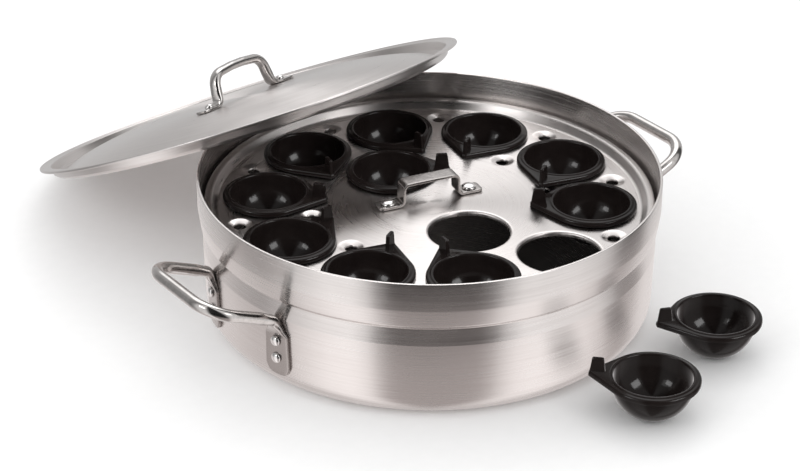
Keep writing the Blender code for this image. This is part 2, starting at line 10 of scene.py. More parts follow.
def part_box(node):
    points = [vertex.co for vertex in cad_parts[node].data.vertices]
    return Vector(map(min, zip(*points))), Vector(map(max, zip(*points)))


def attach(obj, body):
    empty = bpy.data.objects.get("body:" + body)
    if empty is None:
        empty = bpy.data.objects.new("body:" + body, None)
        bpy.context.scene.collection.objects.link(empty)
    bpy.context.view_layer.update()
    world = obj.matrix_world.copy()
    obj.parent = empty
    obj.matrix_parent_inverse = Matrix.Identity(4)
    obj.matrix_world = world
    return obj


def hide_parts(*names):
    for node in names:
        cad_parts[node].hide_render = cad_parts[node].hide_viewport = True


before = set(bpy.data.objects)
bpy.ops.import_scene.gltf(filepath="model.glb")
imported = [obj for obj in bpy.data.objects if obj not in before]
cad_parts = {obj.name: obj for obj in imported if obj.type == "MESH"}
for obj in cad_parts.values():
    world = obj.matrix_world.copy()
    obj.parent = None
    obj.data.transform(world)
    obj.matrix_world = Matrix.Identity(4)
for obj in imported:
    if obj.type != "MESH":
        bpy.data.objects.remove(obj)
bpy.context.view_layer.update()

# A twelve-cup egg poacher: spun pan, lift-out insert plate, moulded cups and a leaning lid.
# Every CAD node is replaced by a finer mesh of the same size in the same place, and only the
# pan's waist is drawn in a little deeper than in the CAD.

MM = 0.001

# Dimensions in millimetres, nearly all of them the CAD part's
GAP = 0.3
RIM_RADIUS = 203.0
PAN_HEIGHT = 131.0
WALL = 2.6
SHOULDER_RADIUS = 199.3
SHOULDER_Z = 73.5
SHOULDER_EDGE_Z = 71.5
WAIST_RADIUS = 198.2
WAIST_DEEPER = 0.8
BAND_RADIUS = 200.9
FLARE_Z = 106.0
LOWER_RADIUS = 197.8
CORNER_RADIUS = 20.5
CORNER_HEIGHT = 19.5
BASE_THICK = 3.2
PLATE_TOP = 99.4
PLATE_THICK = 1.8
INSERT_RADIUS = 197.3
INSERT_LIP_TOP = 107.6
INSERT_SKIRT_Z = 89.4
INSERT_FLAT_RADIUS = 184.0
INSERT_TURN = -3.5
HOLE_RADIUS = 35.3
OUTER_RING = 142.1
INNER_RING = 63.3
OUTER_HOLES = 10
VENT_RING = 169.4
INNER_VENT_RING = 105.3
INNER_VENTS = (-18.0, 18.0, 162.0, 198.0)
VENT_RADIUS = 5.4
CUP_BOWL_RADIUS = 33.0
CUP_BOWL_INNER_DEPTH = 30.6
CUP_BOWL_OUTER = 34.6
CUP_BOWL_DEPTH = 33.5
CUP_FOOT_ANGLE = 15.0
CUP_FLANGE_RADIUS = 40.0
CUP_TIP = 55.2
CUP_TIP_BLUNT = 1.6
CUP_TOP = 5.7
FIN_THICK = 3.4
FIN_TOP = 17.4
HANDLE_FOOT_ANGLE = 14.4
HANDLE_SPREAD = 50.3
HANDLE_RISE = 23.0
HANDLE_REACH = 63.4
HANDLE_ROOT_X = 200.0
HANDLE_ROOT_Z = 72.2
HANDLE_CORNER = 26.0
ROD = 5.4
SIDES = (("right", 0.0), ("left", 180.0))
SIDE_RIVET_HEIGHTS = (50.5, 34.0)
SIDE_FOOT_THICK = 3.2
STRAP_WIDTH = 14.6
STRAP_THICK = 2.5
STRAP_HEIGHT = 21.8
STRAP_LEG = 26.5
STRAP_REACH = 49.5
STRAP_RIVET = 39.0
LID_RADIUS = 208.0
LID_THICK = 1.6
LID_SKIRT_RADIUS = 196.6
LID_DEPTH = 10.6
LID_RISE = 7.9
LID_DOME_RADIUS = 191.0
LID_DOME_POWER = 4.5
LID_EDGE_START = 176.0
LID_RIVET = 53.0
LID_FOOT_THICK = 2.6
SIDE_RIVET_HEAD = (4.8, 3.4)    # radius and height
INSERT_RIVET_HEAD = (6.4, 3.0)
LID_RIVET_HEAD = (4.4, 3.6)
FLAT = math.cos(math.pi / 50)    # the CAD's pan is fifty-sided, and the side handles' feet lie on its flats

# Fineness of the visible meshes
ROUND_STEPS = 288
HOLE_STEPS = 84
VENT_STEPS = 48
RIVET_STEPS = 40
CUP_STEPS = 112
STATION_SPACING = 1.6
ON_AXIS = 1e-4    # a smaller radius than this is the axis itself

LOOSE_CUPS = ("cup_11", "cup_12")

# Base colours, each from its dark patches to its light ones
SHEET_TONES = ((0.63, 0.592, 0.578), (0.77, 0.736, 0.721))
LID_HANDLE_TONES = ((0.50, 0.478, 0.465), (0.62, 0.594, 0.58))
SIDE_HANDLE_TONES = ((0.46, 0.438, 0.425), (0.58, 0.554, 0.54))
STRAP_TONES = ((0.33, 0.31, 0.30), (0.41, 0.385, 0.373))
RIVET_TONES = ((0.68, 0.66, 0.65), (0.82, 0.80, 0.79))
PLASTIC_TONES = ((0.0064, 0.0047, 0.0044), (0.0094, 0.0071, 0.0066))
PAPER_TONES = ((0.90, 0.90, 0.90), (0.93, 0.93, 0.93))

# Brushed lines come from a noise: its radius round the axis, and its length for a metre of profile
LINE_LENGTH = 1.3
LINE_DENSITY = 520.0
NOISE_RANGE = (0.3, 0.7)    # nearly all of a noise lies between these

# The side handles' feet stay satin out to this many metres from the axis
SATIN_WITHIN = 0.2025
SATIN_BLEND = 0.004
SATIN_TONE = (0.40, 0.370, 0.358)
SATIN_ROUGHER = 0.16

# The camera looks along this azimuth, so studio places are given in a frame turned by it
VIEW_TURN = -36.0
CAMERA_STAND = (-0.0256, -1.9287, 1.1193)
CAMERA_PITCH = 28.65
CAMERA_ROLL = -0.16
CAMERA_LENS = 111.735
LIGHT_AIM = (0.0, 0.0, 0.1)

# The world: even light, and an overhead box about a direction, from its edge to full by the cosine
AMBIENT = 1.06
OVERHEAD = 2.1
OVERHEAD_WAY = (0.0, 0.58, 0.82)
OVERHEAD_EDGE = (0.85, 0.96)

# What the floor adds in reflections, by metres from the pan's axis or from a loose cup's middle
FLOOR_GLOW = 0.50
GLOW_EDGE = (0.29, 0.46)
GLOW_TONE = (1.0, 0.91, 0.89, 1.0)
GLOW_HIDES = 0.45    # how far the glow stands in front of what lies behind it
PAN_SHADE = (0.100, 0.225)
CUP_SHADE = (0.012, 0.044)
UNDER_CUP = 0.4    # what is left of the glow beneath a loose cup
GLOW_Z = -0.001
FLOOR_SIZE = 9.0


# ---------------------------------------------------------------- geometry helpers


def polar(radius, angle, z=0.0):
    turn = math.radians(angle)
    return Vector((radius * math.cos(turn), radius * math.sin(turn), z))


def placed(point, angle=0.0):
    """A place at a point in millimetres, turned about Z."""
    return Matrix.Translation(Vector(point) * MM) @ Matrix.Rotation(math.radians(angle), 4, "Z")


def radial_place(radius, angle, z):
    """A place whose local Z points outwards."""
    return placed(polar(radius, angle, z), angle) @ Matrix.Rotation(math.radians(90.0), 4, "Y")


def filleted(corners, steps):
    """An outline through (x, y, radius) corners, each rounded by its radius."""
    outline = []
    last = len(corners) - 1
    for index, (x, y, radius) in enumerate(corners):
        here = Vector((x, y))
        if radius <= 0.0 or index in (0, last):
            outline.append((x, y))
            continue
        before = (Vector(corners[index - 1][:2]) - here).normalized()
        after = (Vector(corners[index + 1][:2]) - here).normalized()
        half = 0.5 * before.angle(after)
        reach = radius / math.tan(half)
        centre = here + (before + after).normalized() * (radius / math.sin(half))
        start = here + before * reach - centre
        sweep = start.angle_signed(here + after * reach - centre)
        for step in range(steps + 1):
            turn = Matrix.Rotation(-sweep * step / steps, 2)
            point = centre + turn @ start
            outline.append((point.x, point.y))
    return outline


def corners_of(node):
    """A CAD node's vertices at rest, in metres."""
    return np.array([vertex.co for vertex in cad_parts[node].data.vertices])


def middle_of(node):
    low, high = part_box(node)
    return 0.5 * (low + high)


def piece_of(name, shape, material, smooth_angle=35.0):
    """An object from a bmesh, shaded smooth except across sharp edges."""
    mesh = bpy.data.meshes.new(name)
    bmesh.ops.remove_doubles(shape, verts=shape.verts, dist=1e-7)
    bmesh.ops.recalc_face_normals(shape, faces=shape.faces)
    shape.to_mesh(mesh)
    shape.free()
    mesh.shade_smooth()
    mesh.set_sharp_from_angle(angle=math.radians(smooth_angle))
    mesh.materials.append(material)
    obj = bpy.data.objects.new(name, mesh)
    bpy.context.scene.collection.objects.link(obj)
    return obj


def spin(shape, profile, steps, centre=(0.0, 0.0)):
    """Adds a turned surface in millimetres to a bmesh, closing it where it meets the axis.

    Its UV is the share of a turn and the metres along the profile.
    """
    layer = shape.loops.layers.uv.verify()
    rings, runs = [], []
    for index, (radius, z) in enumerate(profile):
        run = 0.0
        if index:
            run = runs[-1] + (Vector(profile[index]) - Vector(profile[index - 1])).length * MM
        runs.append(run)
        if radius < ON_AXIS:
            rings.append([shape.verts.new(Vector((centre[0], centre[1], z)) * MM)])
            continue
        ring = []
        for step in range(steps):
            point = polar(radius, 360.0 * step / steps, z) + Vector((centre[0], centre[1], 0.0))
            ring.append(shape.verts.new(point * MM))
        rings.append(ring)
    for row, (upper, lower) in enumerate(zip(rings[:-1], rings[1:])):
        for step in range(steps):
            after = (step + 1) % steps
            left, right = step / steps, (step + 1) / steps
            corners, places = [], []
            for ring, run, order in ((upper, runs[row], (0, 1)), (lower, runs[row + 1], (1, 0))):
                if len(ring) == 1:
                    corners.append(ring[0])
                    places.append((0.5 * (left + right), run))
                    continue
                corners += [(ring[step], ring[after])[end] for end in order]
                places += [((left, right)[end], run) for end in order]
            face = shape.faces.new(corners)
            for loop, place in zip(face.loops, places):
                loop[layer].uv = place


def turned(name, profile, steps, material, smooth_angle=35.0):
    shape = bmesh.new()
    spin(shape, profile, steps)
    return piece_of(name, shape, material, smooth_angle)


def loft(shape, rings):
    """Adds a closed body through rings of equally many points in millimetres."""
    rows = [[shape.verts.new(Vector(point) * MM) for point in ring] for ring in rings]
    count = len(rows[0])
    for lower, upper in zip(rows[:-1], rows[1:]):
        for index in range(count):
            after = (index + 1) % count
            shape.faces.new((lower[index], lower[after], upper[after], upper[index]))
    for row, centre in ((rows[0], rings[0]), (rows[-1], rings[-1])):
        middle = sum((Vector(point) for point in centre), Vector()) / count
        hub = shape.verts.new(middle * MM)
        for index in range(count):
            shape.faces.new((row[index], row[(index + 1) % count], hub))


def eased(share):
    return share * share * (3.0 - 2.0 * share)


def section(centre, across, upward, size, count):
    """A rounded section: squareness 1 is an ellipse and near 0 a rectangle."""
    half_width, half_thick, squareness = size
    points = []
    for index in range(count):
        angle = 2.0 * math.pi * (index + 0.5) / count
        x = math.copysign(abs(math.cos(angle)) ** squareness, math.cos(angle))
        y = math.copysign(abs(math.sin(angle)) ** squareness, math.sin(angle))
        points.append(centre + across * (half_width * x) + upward * (half_thick * y))
    return points


def rounded_path(nodes, arc_steps):
    """Turns corner nodes into arcs. A node is (point, corner radius, section, normal)."""
    path = []
    for index, (point, radius, size, normal) in enumerate(nodes):
        if radius <= 0.0:
            path.append((Vector(point), size, Vector(normal)))
            continue
        before = (Vector(nodes[index - 1][0]) - point).normalized()
        after = (Vector(nodes[index + 1][0]) - point).normalized()
        half = 0.5 * math.acos(max(-1.0, min(1.0, before.dot(after))))
        centre = point + (before + after).normalized() * (radius / math.sin(half))
        start = point + before * (radius / math.tan(half))
        axis = (start - centre).cross(point + after * (radius / math.tan(half)) - centre)
        first = Vector(nodes[index - 1][3])
        last = Vector(nodes[index + 1][3])
        for step in range(arc_steps + 1):
            share = step / arc_steps
            turn = Matrix.Rotation((math.pi - 2.0 * half) * share, 3, axis.normalized())
            path.append((centre + turn @ (start - centre), size, first.lerp(last, share).normalized()))
    return path


def resampled(path, spacing):
    """Adds stations between those of a path and eases its section from one to the next."""
    fine = []
    for (point, size, normal), (next_point, next_size, next_normal) in zip(path[:-1], path[1:]):
        count = max(1, round((next_point - point).length / spacing))
        for step in range(count):
            share = step / count
            blend = eased(share)
            mixed = tuple(a + (b - a) * blend for a, b in zip(size, next_size))
            fine.append((point.lerp(next_point, share), mixed, normal.lerp(next_normal, blend)))
    fine.append(path[-1])
    return fine


def swept(name, nodes, material, arc_steps, count=28, width_axis=None):
    """A bar along a path whose section changes smoothly from node to node."""
    path = resampled(rounded_path(nodes, arc_steps), STATION_SPACING)
    rings = []
    for index, (point, size, normal) in enumerate(path):
        before = path[max(index - 1, 0)][0]
        after = path[min(index + 1, len(path) - 1)][0]
        tangent = (after - before).normalized()
        across = Vector(width_axis) if width_axis else normal.cross(tangent).normalized()
        upward = tangent.cross(across).normalized()
        rings.append(section(point, across, upward, size, count))
    shape = bmesh.new()
    loft(shape, rings)
    return piece_of(name, shape, material, 50.0)


def mirrored(half, axis):
    """The nodes of a half path followed by its mirror image."""
    whole = [(Vector(point), radius, size, Vector(normal)) for point, radius, size, normal in half]
    for point, radius, size, normal in reversed(whole[:]):
        point, normal = point.copy(), normal.copy()
        point[axis] = -point[axis]
        normal[axis] = -normal[axis]
        whole.append((point, radius, size, normal))
    return whole


def stands_for(piece, node, body):
    """Hands a finished piece to the frame, with its place written into its mesh."""
    piece.data.transform(piece.matrix_world)
    piece.matrix_world = Matrix.Identity(4)
    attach(piece, body)
    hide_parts(node)
    return piece


# ---------------------------------------------------------------- materials


class Graph:
    """A short way to write the nodes of a material or of the world."""

    def __init__(self, owner):
        owner.use_nodes = True
        self.owner = owner
        self.tree = owner.node_tree
        self.shader = self.tree.nodes.get("Principled BSDF")

    def node(self, kind, **settings):
        made = self.tree.nodes.new("ShaderNode" + kind)
        for key, value in settings.items():
            setattr(made, key, value)
        return made

    def join(self, source, target):
        self.tree.links.new(source, target)

    def fill(self, socket, value):
        if isinstance(value, bpy.types.NodeSocket):
            self.join(value, socket)
        else:
            socket.default_value = value

    def maths(self, operation, first, second=0.0):
        made = self.node("Math", operation=operation)
        self.fill(made.inputs[0], first)
        self.fill(made.inputs[1], second)
        return made.outputs[0]

    def vector(self, operation, first, second, output="Value"):
        """Arithmetic on two vectors, which gives a number unless the other output is named."""
        made = self.node("VectorMath", operation=operation)
        self.fill(made.inputs[0], first)
        self.fill(made.inputs[1], second)
        return made.outputs[output]

    def place(self):
        """Where a point lies at rest, in metres."""
        return self.node("TexCoord").outputs["Object"]

    def noise(self, vector, scale, detail, roughness=0.5):
        made = self.node("TexNoise", noise_dimensions="3D")
        self.join(vector, made.inputs["Vector"])
        made.inputs["Scale"].default_value = scale
        made.inputs["Detail"].default_value = detail
        made.inputs["Roughness"].default_value = roughness
        return made.outputs["Fac"]

    def mapped(self, value, source, target, kind="LINEAR"):
        """Maps the range from source[0] to source[1] onto target, and holds its ends."""
        made = self.node("MapRange", interpolation_type=kind)
        self.join(value, made.inputs["Value"])
        made.inputs["From Min"].default_value = source[0]
        made.inputs["From Max"].default_value = source[1]
        made.inputs["To Min"].default_value = target[0]
        made.inputs["To Max"].default_value = target[1]
        return made.outputs["Result"]

    def ramp(self, value, low, high):
        """Spreads a noise from low to high."""
        return self.mapped(value, NOISE_RANGE, (low, high))

    def smooth(self, value, source):
        """Rises from nought to one between the ends of a range."""
        return self.mapped(value, source, (0.0, 1.0), "SMOOTHSTEP")

    def tint(self, value, dark, light):
        made = self.node("MixRGB")
        self.join(value, made.inputs["Fac"])
        for name, colour in (("Color1", dark), ("Color2", light)):
            self.fill(made.inputs[name], (*colour, 1.0) if isinstance(colour, tuple) else colour)
        return made.outputs["Color"]

    def bump(self, height, strength, distance, under=None):
        made = self.node("Bump")
        made.inputs["Strength"].default_value = strength
        made.inputs["Distance"].default_value = distance
        self.join(height, made.inputs["Height"])
        if under is not None:
            self.join(under, made.inputs["Normal"])
        return made.outputs["Normal"]


def turned_lines(graph):
    """Vectors that run slowly round a turned surface and fast along its profile, from its UV."""
    split = graph.node("SeparateXYZ")
    graph.join(graph.node("TexCoord").outputs["UV"], split.inputs[0])
    turn = graph.maths("MULTIPLY", split.outputs[0], 2.0 * math.pi)
    return ring_vector(graph, graph.maths("COSINE", turn), graph.maths("SINE", turn), split.outputs[1])


def flat_lines(graph):
    """The same for a flat sheet round the Z axis, from its place."""
    split = graph.node("SeparateXYZ")
    graph.join(graph.place(), split.inputs[0])
    x, y = split.outputs[0], split.outputs[1]
    squares = graph.maths("ADD", graph.maths("MULTIPLY", x, x), graph.maths("MULTIPLY", y, y))
    radius = graph.maths("MAXIMUM", graph.maths("SQRT", squares), 0.0001)
    return ring_vector(graph, graph.maths("DIVIDE", x, radius), graph.maths("DIVIDE", y, radius), radius)


def ring_vector(graph, x, y, run):
    merged = graph.node("CombineXYZ")
    graph.join(graph.maths("MULTIPLY", x, LINE_LENGTH), merged.inputs[0])
    graph.join(graph.maths("MULTIPLY", y, LINE_LENGTH), merged.inputs[1])
    graph.join(graph.maths("MULTIPLY", run, LINE_DENSITY), merged.inputs[2])
    return merged.outputs[0]


def brushed_aluminium(name, flat, roughness, anisotropy, dents):
    """Sheet brushed round its own axis, with handling marks and soft unevenness of the spinning."""
    graph = Graph(bpy.data.materials.new(name))
    place = graph.place()
    lines = flat_lines(graph) if flat else turned_lines(graph)
    fine = graph.noise(lines, scale=1.0, detail=5.0, roughness=0.62)
    coarse = graph.noise(lines, scale=0.16, detail=2.0)
    smudge = graph.noise(place, scale=21.0, detail=3.0, roughness=0.55)
    mottle = graph.noise(place, scale=9.0, detail=2.0)
    grain = graph.maths("ADD", graph.maths("MULTIPLY", fine, 0.6), graph.maths("MULTIPLY", smudge, 0.4))
    tone = graph.tint(graph.ramp(grain, 0.0, 1.0), *SHEET_TONES)
    graph.join(tone, graph.shader.inputs["Base Color"])
    rough = graph.maths("ADD", graph.ramp(fine, -0.04, 0.04), graph.ramp(smudge, -0.03, 0.03))
    graph.join(graph.maths("ADD", rough, roughness), graph.shader.inputs["Roughness"])
    soft = graph.bump(mottle, strength=dents, distance=0.004)
    worked = graph.bump(coarse, strength=0.10 if flat else 0.25, distance=0.00035, under=soft)
    brushed = graph.bump(fine, strength=0.35, distance=0.00008, under=worked)
    graph.join(brushed, graph.shader.inputs["Normal"])
    tangent = graph.node("Tangent", direction_type="RADIAL" if flat else "UV_MAP", axis="Z")
    graph.join(tangent.outputs[0], graph.shader.inputs["Tangent"])
    graph.shader.inputs["Metallic"].default_value = 1.0
    graph.shader.inputs["Anisotropic"].default_value = anisotropy
    graph.shader.inputs["Anisotropic Rotation"].default_value = 0.25
    return graph.owner


def polished_metal(name, tones, roughness, grain, relief, satin_feet=False):
    """Cast and buffed metal: fine polishing haze over slight waviness, and feet that can stay satin."""
    graph = Graph(bpy.data.materials.new(name))
    place = graph.place()
    haze = graph.noise(place, scale=grain, detail=4.0, roughness=0.6)
    wave = graph.noise(place, scale=55.0, detail=2.0)
    tone = graph.tint(graph.ramp(haze, 0.0, 1.0), *tones)
    rough = graph.ramp(haze, roughness * 0.75, roughness * 1.3)
    if satin_feet:
        level = graph.vector("MULTIPLY", place, (1.0, 1.0, 0.0), "Vector")
        reach = graph.vector("DISTANCE", level, (0.0, 0.0, 0.0))
        polished = graph.smooth(reach, (SATIN_WITHIN, SATIN_WITHIN + SATIN_BLEND))
        tone = graph.tint(polished, SATIN_TONE, tone)
        rough = graph.maths("ADD", rough, graph.ramp(polished, SATIN_ROUGHER, 0.0))
    graph.join(tone, graph.shader.inputs["Base Color"])
    graph.join(rough, graph.shader.inputs["Roughness"])
    soft = graph.bump(wave, strength=0.12, distance=0.0016)
    buffed = graph.bump(haze, strength=relief, distance=0.00006, under=soft)
    graph.join(buffed, graph.shader.inputs["Normal"])
    graph.shader.inputs["Metallic"].default_value = 1.0
    return graph.owner


def black_plastic(name):
    """Moulded black plastic: glossy, with faint mottling, fine texture and dulled patches."""
    graph = Graph(bpy.data.materials.new(name))
    place = graph.place()
    patch = graph.noise(place, scale=70.0, detail=3.0)
    fine = graph.noise(place, scale=1500.0, detail=2.0)
    tone = graph.tint(graph.ramp(patch, 0.0, 1.0), *PLASTIC_TONES)
    graph.join(tone, graph.shader.inputs["Base Color"])
    graph.join(graph.ramp(patch, 0.10, 0.14), graph.shader.inputs["Roughness"])
    soft = graph.bump(patch, strength=0.05, distance=0.0012)
    moulded = graph.bump(fine, strength=0.05, distance=0.00003, under=soft)
    graph.join(moulded, graph.shader.inputs["Normal"])
    graph.shader.inputs["IOR"].default_value = 1.46
    graph.shader.inputs["Specular IOR Level"].default_value = 0.13
    return graph.owner


# ---------------------------------------------------------------- pan


def wall_radius(z):
    """Distance from the axis to a flat of the CAD's straight lower wall, outside."""
    share = (z - CORNER_HEIGHT) / (SHOULDER_Z - CORNER_HEIGHT)
    return (LOWER_RADIUS + (SHOULDER_RADIUS - LOWER_RADIUS) * share) * FLAT


def make_pan(material):
    outer = [
        (RIM_RADIUS, PAN_HEIGHT, 0.9),
        (RIM_RADIUS, FLARE_Z, 14.0),
        (BAND_RADIUS, 90.3, 3.0),
        (WAIST_RADIUS - WAIST_DEEPER, 87.0, 1.6),
        (SHOULDER_RADIUS + 0.1, SHOULDER_EDGE_Z, 3.0),
        (LOWER_RADIUS, 0.0, CORNER_RADIUS),
        (0.0, 0.0, 0.0),
    ]
    inner = [
        (0.0, BASE_THICK, 0.0),
        (LOWER_RADIUS - WALL, BASE_THICK, CORNER_RADIUS - WALL),
        (SHOULDER_RADIUS - WALL, SHOULDER_EDGE_Z, 3.0),
        (WAIST_RADIUS - WAIST_DEEPER - WALL, 86.4, 1.6),
        (BAND_RADIUS - WALL, 89.6, 2.0),
        (RIM_RADIUS - WALL, FLARE_Z, 14.0),
        (RIM_RADIUS - WALL, PAN_HEIGHT, 0.9),
    ]
    pan = turned("pan_shell", filleted(inner + outer, 7), ROUND_STEPS, material)
    return stands_for(pan, "pan_body", "pan")


def side_handle_nodes():
    foot_turn = math.radians(HANDLE_FOOT_ANGLE)
    rise = math.radians(HANDLE_RISE)
    arm = Vector((math.cos(rise), 0.0, math.sin(rise)))
    lifted = Vector((-math.sin(rise), 0.0, math.cos(rise)))
    inward = Vector((-math.cos(foot_turn), -math.sin(foot_turn), 0.0))
    flat = SIDE_FOOT_THICK / 2.0

    def on_foot(z):
        radius = wall_radius(z) + GAP + flat
        return Vector((radius * math.cos(foot_turn), radius * math.sin(foot_turn), z))

    root = Vector((HANDLE_ROOT_X, HANDLE_SPREAD, HANDLE_ROOT_Z))
    half = [
        (on_foot(17.0), 0.0, (3.4, flat - 0.6, 0.5), inward),
        (on_foot(17.9), 0.0, (7.6, flat - 0.15, 0.42), inward),
        (on_foot(20.0), 0.0, (10.4, flat, 0.3), inward),
        (on_foot(25.5), 0.0, (12.6, flat, 0.24), inward),
        (on_foot(55.8), 0.0, (12.0, flat, 0.26), inward),
        (on_foot(62.5) + Vector((1.4, 0.3, 0.0)), 0.0, (8.4, 3.0, 0.6), inward),
        (root - arm * 2.2, 6.5, (6.2, 4.4, 0.9), inward),
        (root + arm * 13.0, 0.0, (ROD, ROD, 1.0), lifted),
        (root + arm * HANDLE_REACH, HANDLE_CORNER, (ROD, ROD, 1.0), lifted),
    ]
    return mirrored(half, 1)


def make_side_handle(side, angle, material):
    bar = swept(f"side_handle_{side}_bar", side_handle_nodes(), material, 14)
    bar.matrix_world = placed((0.0, 0.0, 0.0), angle)
    return stands_for(bar, f"side_handle_{side}", "pan")


def rivet_head(name, radius, height, material):
    """A domed head with a small flat brim, and a short shank under it."""
    profile = [(0.0, height)]
    for step in range(1, 11):
        turn = math.radians(90.0 * step / 10)
        profile.append((radius * math.sin(turn) ** 0.9, 0.5 + (height - 0.5) * math.cos(turn)))
    profile += [(radius, 0.12), (radius - 0.15, 0.0), (2.5, 0.0), (2.5, -4.0), (0.0, -4.0)]
    lifted = [(distance, z + GAP) for distance, z in profile]
    return turned(name, lifted, RIVET_STEPS, material, 50.0)


def make_side_rivets(material):
    for side, centre in SIDES:
        for number, offset in ((1, HANDLE_FOOT_ANGLE), (2, -HANDLE_FOOT_ANGLE)):
            for row, height in enumerate(SIDE_RIVET_HEIGHTS):
                index = (number - 1) * 2 + row + 1
                node = f"side_rivet_{side}_{index}"
                rivet = rivet_head(node + "_head", *SIDE_RIVET_HEAD, material)
                radius = wall_radius(height) + GAP + SIDE_FOOT_THICK
                rivet.matrix_world = radial_place(radius, centre + offset, height)
                stands_for(rivet, node, "pan")


# ---------------------------------------------------------------- insert plate


def hole_centres():
    centres = [
        polar(OUTER_RING, INSERT_TURN + 360.0 / OUTER_HOLES * index) for index in range(OUTER_HOLES)
    ]
    return centres + [polar(INNER_RING, INSERT_TURN + angle) for angle in (90.0, 270.0)]


def vent_centres():
    step = 360.0 / OUTER_HOLES
    centres = [polar(VENT_RING, INSERT_TURN + step * (index + 0.5)) for index in range(OUTER_HOLES)]
    return centres + [polar(INNER_VENT_RING, INSERT_TURN + angle) for angle in INNER_VENTS]


def hole_profile():
    """From the flat sheet over the rounded lip, down the drawn collar and back under the sheet."""
    under = PLATE_TOP - PLATE_THICK
    return filleted(
        [
            (HOLE_RADIUS + 4.5, PLATE_TOP, 0.0),
            (HOLE_RADIUS + 3.7, PLATE_TOP, 0.0),
            (HOLE_RADIUS, PLATE_TOP, 2.6),
            (HOLE_RADIUS, PLATE_TOP - 4.2, 0.4),
            (HOLE_RADIUS + 1.5, PLATE_TOP - 4.2, 0.4),
            (HOLE_RADIUS + 1.6, under, 1.4),
            (HOLE_RADIUS + 4.6, under, 0.0),
            (HOLE_RADIUS + 5.4, under, 0.0),
        ],
        9,
    )


def vent_profile():
    """A dished dimple round a small bore."""
    under = PLATE_TOP - PLATE_THICK
    return filleted(
        [
            (VENT_RADIUS + 7.0, PLATE_TOP, 0.0),
            (VENT_RADIUS + 6.4, PLATE_TOP, 0.0),
            (VENT_RADIUS + 4.9, PLATE_TOP - 0.2, 4.0),
            (VENT_RADIUS, PLATE_TOP - 2.3, 1.1),
            (VENT_RADIUS, PLATE_TOP - 3.9, 0.3),
            (VENT_RADIUS + 1.5, PLATE_TOP - 3.9, 0.3),
            (VENT_RADIUS + 4.4, under, 1.2),
            (VENT_RADIUS + 5.2, under, 0.0),
        ],
        5,
    )


def edge_profile():
    """The insert's rim: a step up into a rolled lip, and the skirt that rests inside the pan."""
    under = PLATE_TOP - PLATE_THICK
    skirt = INSERT_RADIUS - 1.7
    return filleted(
        [
            (INSERT_FLAT_RADIUS, PLATE_TOP, 0.0),
            (186.6, PLATE_TOP, 3.0),
            (190.6, INSERT_LIP_TOP, 3.2),
            (INSERT_RADIUS, INSERT_LIP_TOP, 2.6),
            (INSERT_RADIUS, INSERT_SKIRT_Z, 0.5),
            (skirt, INSERT_SKIRT_Z, 0.5),
            (skirt, INSERT_LIP_TOP - 1.9, 1.2),
            (192.0, INSERT_LIP_TOP - 1.9, 1.4),
            (188.0, under, 2.0),
            (INSERT_FLAT_RADIUS, under, 0.0),
        ],
        7,
    )


def circle(centre, radius, steps, z):
    return [
        Vector((centre[0], centre[1], 0.0)) + polar(radius, 360.0 * step / steps, z)
        for step in range(steps)
    ]


def sheet_between(shape, outer, holes):
    """Fills the flat sheet between one outer ring and the rings of its holes."""
    loops = [outer] + holes
    points = [point * MM for loop in loops for point in loop]
    verts = [shape.verts.new(point) for point in points]
    for triangle in tessellate_polygon([[point * MM for point in loop] for loop in loops]):
        shape.faces.new([verts[index] for index in triangle])


def make_insert(material):
    shape = bmesh.new()
    edge, bore, vent = edge_profile(), hole_profile(), vent_profile()
    spin(shape, edge, ROUND_STEPS)
    for end in (0, -1):
        rings = []
        for profile, steps, centres in (
            (bore, HOLE_STEPS, hole_centres()),
            (vent, VENT_STEPS, vent_centres()),
        ):
            rings += [circle(centre, profile[end][0], steps, profile[end][1]) for centre in centres]
        sheet_between(shape, circle((0.0, 0.0), edge[end][0], ROUND_STEPS, edge[end][1]), rings)
    for centre in hole_centres():
        spin(shape, bore, HOLE_STEPS, centre)
    for centre in vent_centres():
        spin(shape, vent, VENT_STEPS, centre)
    plate = piece_of("insert_sheet", shape, material, 40.0)
    return stands_for(plate, "insert_plate", "insert")


def strap_place():
    """The strap stands midway between its two rivets, on the plate."""
    first, second = middle_of("insert_rivet_1"), middle_of("insert_rivet_2")
    along = first - second
    middle = 0.5 * (first + second)
    middle.z = PLATE_TOP * MM
    return Matrix.Translation(middle) @ Matrix.Rotation(math.atan2(along.y, along.x), 4, "Z")


def make_insert_handle(material):
    thick = STRAP_THICK / 2.0
    low = GAP + thick
    high = STRAP_HEIGHT - thick
    flat = (STRAP_WIDTH / 2.0, thick, 0.14)
    up = (0.0, 0.0, 1.0)
    half = [
        ((-STRAP_REACH, 0.0, low), 0.0, (5.2, thick - 0.3, 0.2), up),
        ((-STRAP_REACH + 0.8, 0.0, low), 0.0, (6.6, thick, 0.16), up),
        ((-STRAP_REACH + 2.4, 0.0, low), 0.0, flat, up),
        ((-STRAP_LEG, 0.0, low), 4.4, flat, up),
        ((-STRAP_LEG + 0.7, 0.0, high), 4.6, flat, up),
        ((-8.0, 0.0, high + 0.2), 0.0, flat, up),
    ]
    across = (0.0, 1.0, 0.0)
    strap = swept("insert_strap", mirrored(half, 0), material, 10, count=36, width_axis=across)
    strap.matrix_world = strap_place()
    return stands_for(strap, "insert_handle", "insert")


def make_insert_rivets(material):
    for index, offset in ((1, STRAP_RIVET), (2, -STRAP_RIVET)):
        rivet = rivet_head(f"insert_rivet_{index}_head", *INSERT_RIVET_HEAD, material)
        rivet.matrix_world = strap_place() @ placed((offset, 0.0, GAP + STRAP_THICK))
        stands_for(rivet, f"insert_rivet_{index}", "insert")


# ---------------------------------------------------------------- cups


